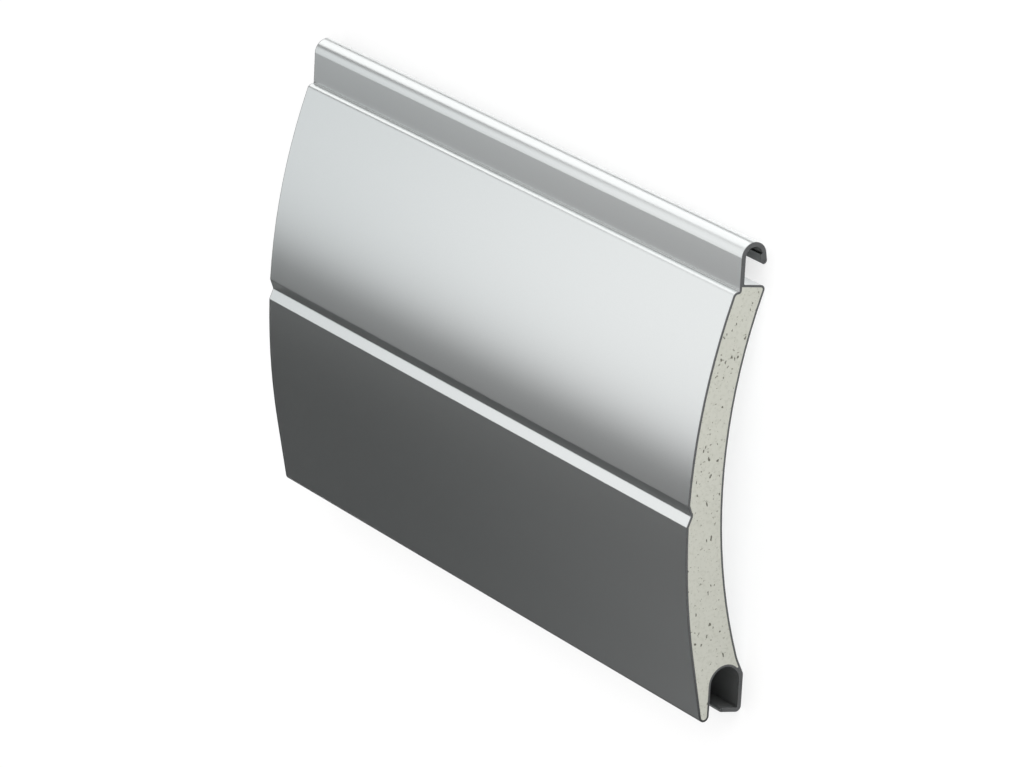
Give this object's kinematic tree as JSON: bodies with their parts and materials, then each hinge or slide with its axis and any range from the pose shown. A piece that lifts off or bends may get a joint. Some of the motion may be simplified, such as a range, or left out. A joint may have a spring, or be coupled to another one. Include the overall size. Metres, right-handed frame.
{
  "type": "roller shutter slat",
  "caption": "Foam-filled roll-formed shutter slat with a bowed front, a V-groove, a hook along the top edge and a pocket along the bottom edge, cut square at both ends.",
  "frame": {"origin": "middle of the slat's length and height, on the floor that its back rests on", "axes": "+X along the slat, +Y from the pocket edge to the hook edge, +Z out of the front face"},
  "size_m": [0.135, 0.087, 0.0138],
  "materials": {
    "skin": "satin silver",
    "foam": "rigid foam"
  },
  "bodies": {
    "root": {"aluminium_skin": "skin", "foam_core": "foam"}
  },
  "joints": []
}
